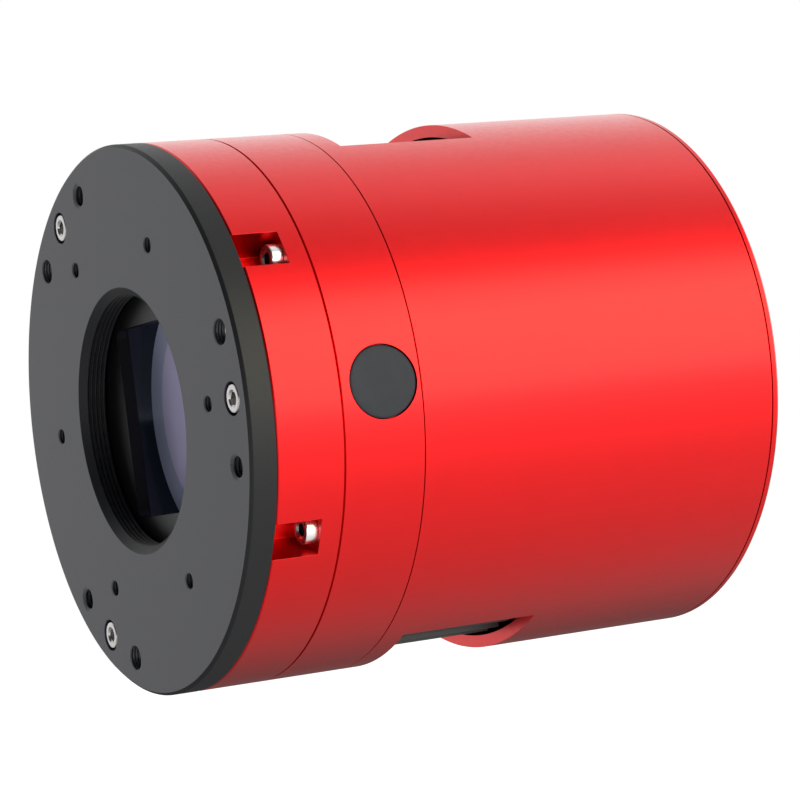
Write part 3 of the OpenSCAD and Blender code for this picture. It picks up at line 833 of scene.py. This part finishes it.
def build_plug():
    R, yc, r_out = BODY_R - 0.12, PORT_Y, PORT_R
    rings = [0.0] + [PORT_R * t for t in (0.15, 0.3, 0.45, 0.6, 0.72, 0.82, 0.89, 0.94, 0.965, 0.982, 0.993, 1.0)]
    n = 96
    verts, faces = [], []

    def top(rho, phi, drop):
        y, z = rho * math.cos(phi), rho * math.sin(phi)
        return ((math.sqrt(R * R - z * z) - drop) * MM, (yc + y) * MM, z * MM)

    verts.append(top(0, 0, 0))
    loops = []
    for rho in rings[1:]:
        e = max(0.0, rho - (r_out - 0.35)) / 0.35
        drop = 0.35 * (1 - math.sqrt(max(0.0, 1 - e * e)))
        loops.append(len(verts))
        for i in range(n):
            verts.append(top(rho, 2 * PI * i / n, drop))
    for rho, x in ((r_out, BODY_R - 1.4), (r_out - 0.15, BODY_R - 1.5), (4.0, BODY_R - 1.5), (4.0, 41.5), (3.25, 41.5), (3.25, 40.1), (4.0, 40.1), (4.0, 39.2), (3.8, 39.0)):
        loops.append(len(verts))
        for i in range(n):
            p = 2 * PI * i / n
            verts.append((x * MM, (yc + rho * math.cos(p)) * MM, rho * math.sin(p) * MM))
    end = len(verts)
    verts.append((39.0 * MM, yc * MM, 0))
    for i in range(n):
        faces.append((0, loops[0] + i, loops[0] + (i + 1) % n))
        for a, b in zip(loops, loops[1:]):
            faces.append((a + i, b + i, b + (i + 1) % n, a + (i + 1) % n))
        faces.append((end, loops[-1] + (i + 1) % n, loops[-1] + i))
    L = Look("port_cover", (0.022, 0.024, 0.034), 0.60, Specular_IOR_Level=0.27)
    L.tint(L.noise(3500, 2, 0.7), 0.16)
    L.gloss(L.noise(500, 3), 0.05)
    L.bump(L.noise(5200, 2, 0.6), 0.15, 0.00003)
    ob = make("desiccant_plug_detail", *outward((verts, faces)), L.done())
    shade(ob, 40)
    return put(ob, "plug", "desiccant_plug", slot="black_plastic")

# --------------------------------------------------------------------- fan


def build_fan():
    lo, hi = box_mm("fan_rotor")
    y0, y1 = lo[1], hi[1]
    cz = FAN_Z
    L = Look("fan_plastic", (0.020, 0.020, 0.022), 0.42)
    L.tint(L.noise(1800, 3), 0.15)
    L.gloss(L.noise(600, 3), 0.06)
    L.bump(L.noise(3000, 3), 0.15, 0.00004)
    mat = L.done()
    hub = fillet([(1.02, y0), (1.02, y1 - 0.45), (0.0001, y1 - 0.45)], 0, closed=False)
    prof = [(8.7, y1 - 2.2), (10.0, y0 + 5.2), (10.0, y0), (11.0, y0), (11.0, y1), (0, y1)]
    outer = fillet([(0, y0 + 5.25), (10.02, y0 + 5.25), (10.02, y0), (11.0, y0), (11.0, y1), (0, y1)], [0, 0.2, 0.1, 0.15, 0.7, 0], 4, closed=False)
    parts = [outward(turned(outer, 96, closed=False, cz=cz))]
    blades = 7
    # a swept, cambered blade with an even thickness
    nr, nc = 14, 12
    r0, r1 = 10.8, 22.9
    ya, yb = y0 + 0.5, y1 - 0.5
    for k in range(blades):
        grid = {}
        for side in (0, 1):
            for i in range(nr + 1):
                t = i / nr
                r = r0 + (r1 - r0) * t
                sweep = math.radians(-14 + 26 * t * t)
                chord = math.radians(33 + 6 * t)
                for j in range(nc + 1):
                    s = j / nc
                    pitch = s + 0.10 * math.sin(PI * s)
                    a = 2 * PI * k / blades + sweep + chord * (s - 0.5)
                    y = ya + (yb - ya) * min(1.0, pitch)
                    th = 0.45 * math.sin(PI * (0.08 + 0.84 * s)) * (1.15 - 0.35 * t)
                    y += th if side else -th
                    y = min(max(y, y0 + 0.05), y1 - 0.05)
                    grid[side, i, j] = (r * math.cos(a) * MM, y * MM, (cz + r * math.sin(a)) * MM)
        verts, index = [], {}
        for key, v in grid.items():
            index[key] = len(verts)
            verts.append(v)
        faces = []
        for i in range(nr):
            for j in range(nc):
                faces.append((index[0, i, j], index[0, i, j + 1], index[0, i + 1, j + 1], index[0, i + 1, j]))
                faces.append((index[1, i, j], index[1, i + 1, j], index[1, i + 1, j + 1], index[1, i, j + 1]))
        for j in range(nc):
            faces.append((index[0, 0, j], index[1, 0, j], index[1, 0, j + 1], index[0, 0, j + 1]))
            faces.append((index[0, nr, j], index[0, nr, j + 1], index[1, nr, j + 1], index[1, nr, j]))
        for i in range(nr):
            faces.append((index[0, i, 0], index[0, i + 1, 0], index[1, i + 1, 0], index[1, i, 0]))
            faces.append((index[0, i, nc], index[1, i, nc], index[1, i + 1, nc], index[0, i + 1, nc]))
        parts.append(outward((verts, faces)))
    ob = make("fan_rotor_detail", *parts[0], mat)
    for b in parts[1:]:
        boolean(ob, b, "UNION")
    shade(ob, 40)
    put(ob, "fan", "fan_rotor", slot="black_plastic")
    return mat


build_plate()
build_front_ring()
build_chamber_ring()
build_shell()
build_rear_cover()
build_screws()
build_plug()
FANPLASTIC = build_fan()

# --------------------------------------------------- materials for CAD nodes


def dress(node, material, edge=None, angle=35):
    ob = NODES[node]
    ob.data.materials.clear()
    ob.data.materials.append(material)
    me = ob.data
    me.polygons.foreach_set("material_index", [0] * len(me.polygons))
    if edge:
        bevel(ob, edge, 2, 40)


def board_material():
    L = Look("circuit_board", (0.010, 0.075, 0.035), 0.38)
    x, y, z = L.xyz()
    tr = L.voronoi(420, "DISTANCE_TO_EDGE", stretch=(1, 0.2, 1))
    copper = L.ramp(tr, [(0.0, 1.0), (0.05, 1.0), (0.07, 0.0)])
    L.color = L.mix(copper, (0.008, 0.060, 0.028), (0.020, 0.130, 0.060))
    L.gloss(L.noise(900, 3), 0.06)
    L.bump(tr, 0.2, 0.00005)
    return L.done()


def glass_material():
    # Painted reflection and glow: the lilac disc stands in for the coating's even reflection. The faint emission, a
    # little stronger on the disc than on the blue-grey ring at its edge, is painted glow that keeps the window bright
    # where the bore shades it.
    L = Look("window_coating_painted_glow", (0.80, 0.76, 1.0), 0.22, 0.0, Alpha=0.88, Coat_Weight=0.3, Coat_Roughness=0.04)
    L.b.inputs["Specular Tint"].default_value = (0.72, 0.66, 1.0, 1)
    x, y, z = L.xyz()
    r = L.math("SQRT", L.math("ADD", L.math("MULTIPLY", x, x), L.math("MULTIPLY", z, z)))
    edge = L.ramp(L.math("MULTIPLY", r, 40.0), [(0.0, 0.0), (0.699, 0.0), (0.706, 1.0)])
    inner = L.mix(L.noise(60, 2), (0.62, 0.58, 0.80), (0.66, 0.62, 0.84))
    L.color = L.mix(edge, inner, (0.40, 0.44, 0.62))
    L.t.links.new(L.mix(edge, (0.036, 0.034, 0.062), (0.028, 0.031, 0.046)), L.b.inputs["Emission Color"])
    L.b.inputs["Emission Strength"].default_value = 1.0
    return L.done()


def die_material():
    L = Look("sensor_silicon", (0.05, 0.035, 0.09), 0.12, 0.55, Coat_Weight=0.4, Coat_Roughness=0.05)
    L.color = L.ramp(L.noise(45, 1), [(0.0, (0.035, 0.03, 0.09)), (0.5, (0.05, 0.035, 0.075)), (1.0, (0.03, 0.05, 0.07))])
    L.bump(L.voronoi(9000), 0.05, 0.00001)
    return L.done()


RUBBER = plain("seal_rubber", (0.016, 0.016, 0.016), 0.62, 0, 0.2, 1200)
BLACKPL = plain("black_plastic_part", (0.022, 0.022, 0.024), 0.45, 0, 0.15, 1600)
FILM = plain("heater_film", (0.48, 0.20, 0.03), 0.35, 0, 0.12, 900)
CERAMIC = plain("alumina", (0.80, 0.79, 0.75), 0.55, 0, 0.05, 1500)
PACKAGE = plain("package_ceramic", (0.06, 0.06, 0.065), 0.5, 0, 0.12, 1500)
NYLON = plain("nylon", (0.70, 0.68, 0.60), 0.5, 0, 0.06, 1200)
COPPER = plain("copper_block", (0.72, 0.38, 0.24), 0.33, 1.0, 0.08, 1500)
PELLET = plain("pellet", (0.28, 0.28, 0.31), 0.4, 0.8, 0.12, 3000)
FOAM = plain("foam", (0.03, 0.03, 0.032), 0.9, 0, 0.3, 2500, 0.5, 0.0002)
WIRE = plain("wire_insulation", (0.50, 0.015, 0.015), 0.4, 0, 0.08, 1500)
CHIP = plain("moulded_chip", (0.018, 0.018, 0.020), 0.55, 0, 0.2, 2500)
BRASS = plain("brass", (0.74, 0.55, 0.24), 0.3, 1.0, 0.06, 1500)
FERRITE = plain("ferrite", (0.05, 0.048, 0.046), 0.6, 0, 0.15, 2000)
TABLET = plain("pressed_tablet", (0.82, 0.82, 0.78), 0.75, 0, 0.06, 2500, 0.4, 0.00008)
PCB = board_material()
GLASS_WITH_GLOW = glass_material()
DIE = die_material()

dress("aperture_baffle", BAFFLE, 0.35)
dress("window_retainer", TUBE, 0.15)
dress("protective_window", GLASS_WITH_GLOW, 0.12)
dress("sensor_cover_glass", GLASS_WITH_GLOW, 0.05)
dress("window_seal", RUBBER)
dress("chamber_seal", RUBBER)
dress("plug_seal", RUBBER)
dress("dew_heater", FILM)
dress("desiccant_tablets", TABLET, 0.3)
dress("sensor_package", PACKAGE, 0.12)
dress("sensor_die", DIE)
dress("sensor_board", PCB)
dress("main_board", PCB)
dress("board_connector", BLACKPL, 0.1)
dress("board_standoffs", NYLON, 0.12)
dress("cold_finger", COPPER, 0.15)
dress("insulation_collar", FOAM)
dress("tec_cold_plate", CERAMIC)
dress("tec_hot_plate", CERAMIC)
dress("tec_elements", PELLET)
dress("tec_leads", WIRE)
dress("heatsink_base", FIN, 0.12)
dress("heatsink_fins", FIN, 0.10)
dress("sensor_flex", FILM)
dress("board_chips", CHIP, 0.12)
dress("buffer_memory", CHIP, 0.12)
dress("main_standoffs", BRASS, 0.12)
dress("fan_frame", BLACKPL)
dress("fan_coil", COPPER, 0.1)
dress("fan_bearing", BRASS)
dress("fan_magnet", FERRITE)
dress("dc_socket", BLACKPL, 0.12)
for n in ("chamber_screws", "board_screws", "heatsink_screws", "main_board_screws", "fan_shaft", "dc_pin"):
    dress(n, DARKSTEEL)
for n in ("usb3_socket", "usb2_sockets"):
    dress(n, STEEL, 0.08)

# ------------------------------------------------------- camera, light, floor

scene = bpy.context.scene
cam_data = bpy.data.cameras.new("camera")
cam_data.sensor_width = 36.0
cam_data.sensor_fit = "HORIZONTAL"
cam_data.lens = 3022.0 / 800.0 * 36.0
cam_data.clip_start = 0.01
cam_data.clip_end = 50
cam = bpy.data.objects.new("camera", cam_data)
scene.collection.objects.link(cam)
cx = Vector((0.46105342, 0.87816614, -0.12749105))
cy = Vector((0.09128266, 0.09597454, 0.99118937))
cz = Vector((0.88266484, -0.46862897, -0.03591195))
cam.matrix_world = Matrix(((cx.x, cy.x, cz.x, 0.455199), (cx.y, cy.y, cz.y, -0.191866), (cx.z, cy.z, cz.z, -0.019850), (0, 0, 0, 1)))
scene.camera = cam

scene.view_settings.view_transform = "Standard"
scene.view_settings.look = "None"
scene.view_settings.exposure = 0.0
scene.view_settings.gamma = 1.0

world = bpy.data.worlds.new("studio")
scene.world = world
world.use_nodes = True
wt = world.node_tree
wt.nodes.clear()
out = wt.nodes.new("ShaderNodeOutputWorld")
lp = wt.nodes.new("ShaderNodeLightPath")
bg_cam = wt.nodes.new("ShaderNodeBackground")
bg_cam.inputs["Color"].default_value = (1, 1, 1, 1)
bg_cam.inputs["Strength"].default_value = 1.0
sky = wt.nodes.new("ShaderNodeTexCoord").outputs["Generated"]


def glow(direction, lo, hi, power, color=(1, 1, 1)):
    """A soft light source far away: full within the angle whose cosine is hi, none past lo."""
    d = Vector(direction).normalized()
    dot = wt.nodes.new("ShaderNodeVectorMath")
    dot.operation = "DOT_PRODUCT"
    wt.links.new(sky, dot.inputs[0])
    dot.inputs[1].default_value = tuple(d)
    mr = wt.nodes.new("ShaderNodeMapRange")
    mr.interpolation_type = "SMOOTHSTEP"
    mr.inputs["From Min"].default_value = lo
    mr.inputs["From Max"].default_value = hi
    mr.inputs["To Min"].default_value = 0.0
    mr.inputs["To Max"].default_value = power
    wt.links.new(dot.outputs["Value"], mr.inputs["Value"])
    bg = wt.nodes.new("ShaderNodeBackground")
    bg.inputs["Color"].default_value = (*color, 1)
    wt.links.new(mr.outputs["Result"], bg.inputs["Strength"])
    return bg.outputs[0]


def total(*shaders):
    s = shaders[0]
    for other in shaders[1:]:
        a = wt.nodes.new("ShaderNodeAddShader")
        wt.links.new(s, a.inputs[0])
        wt.links.new(other, a.inputs[1])
        s = a.outputs[0]
    return s


lit = total(
    glow((-0.883, 0.469, 0.036), -0.15, 0.50, 1.02),                       # white backdrop
    glow((0.86, 0.47, 0.20), 0.83, 0.985, 4.7, (1.0, 0.97, 0.76)),         # key soft box
    glow((0.44, 0.469, 0.765), 0.72, 0.97, 0.62),                          # overhead soft box
    glow((-0.3, -0.9, 0.3), 0.0, 1.0, 0.04),                               # faint front fill
    glow((0, 0, 1), -1.0, 1.0, 0.025))
mixw = wt.nodes.new("ShaderNodeMixShader")
wt.links.new(lp.outputs["Is Camera Ray"], mixw.inputs["Fac"])
wt.links.new(lit, mixw.inputs[1])
wt.links.new(bg_cam.outputs[0], mixw.inputs[2])
wt.links.new(mixw.outputs[0], out.inputs["Surface"])

# pale floor under the camera, which hangs in its holder
fl = 6.0
nx = 24
verts, faces = [], []
for i in range(nx + 1):
    for j in range(nx + 1):
        verts.append((-fl + 2 * fl * i / nx, -fl + 2 * fl * j / nx, CAD_BOX[0][2] - 0.25))
for i in range(nx):
    for j in range(nx):
        a = i * (nx + 1) + j
        faces.append((a, a + nx + 1, a + nx + 2, a + 1))
L = Look("pale_floor", (0.9, 0.9, 0.9), 0.8)
L.b.inputs["Specular IOR Level"].default_value = 0.1
x, y, z = L.xyz()
# Painted shade and painted light: the floor's colour is darker towards -X, its glow for reflected light rises towards
# +X, and extra glow lies towards -X and -Y. The camera body shows these in its reflections. To the camera itself the
# floor shows white.
across = L.math("MULTIPLY_ADD", x, 1.25, 0.5, clamp=True)
L.color = L.mix(L.noise(30, 2), L.ramp(across, [(0.0, 0.08), (0.25, 0.16), (0.5, 0.46), (0.78, 0.84), (1.0, 0.86)]), (0.8, 0.8, 0.8), "MULTIPLY")
L.b.inputs["Emission Color"].default_value = (1, 1, 1, 1)
card = L.math("MULTIPLY_ADD", L.math("MAXIMUM", L.math("SUBTRACT", x, 0.3), 0.0), 0.80, L.ramp(across, [(0.0, 0.04), (0.25, 0.10), (0.5, 0.30), (0.78, 0.40), (1.0, 0.42)]))
near = L.math("MULTIPLY", L.math("MULTIPLY_ADD", y, -4.0, -0.2, clamp=True), L.math("MULTIPLY_ADD", x, -3.0, -0.6, clamp=True))
card = L.math("MULTIPLY_ADD", near, 0.75, card)
L.t.links.new(L.math("ADD", card, L.t.nodes.new("ShaderNodeLightPath").outputs["Is Camera Ray"]), L.b.inputs["Emission Strength"])
L.done()
# clear when seen from underneath, so that the bottom of the camera can be looked at
clear = L.t.nodes.new("ShaderNodeBsdfTransparent")
under = L.t.nodes.new("ShaderNodeMixShader")
L.t.links.new(L.t.nodes.new("ShaderNodeNewGeometry").outputs["Backfacing"], under.inputs["Fac"])
L.t.links.new(L.b.outputs["BSDF"], under.inputs[1])
L.t.links.new(clear.outputs["BSDF"], under.inputs[2])
L.t.links.new(under.outputs["Shader"], next(n for n in L.t.nodes if n.type == "OUTPUT_MATERIAL").inputs["Surface"])
floor = make("floor", verts, faces, L.m)
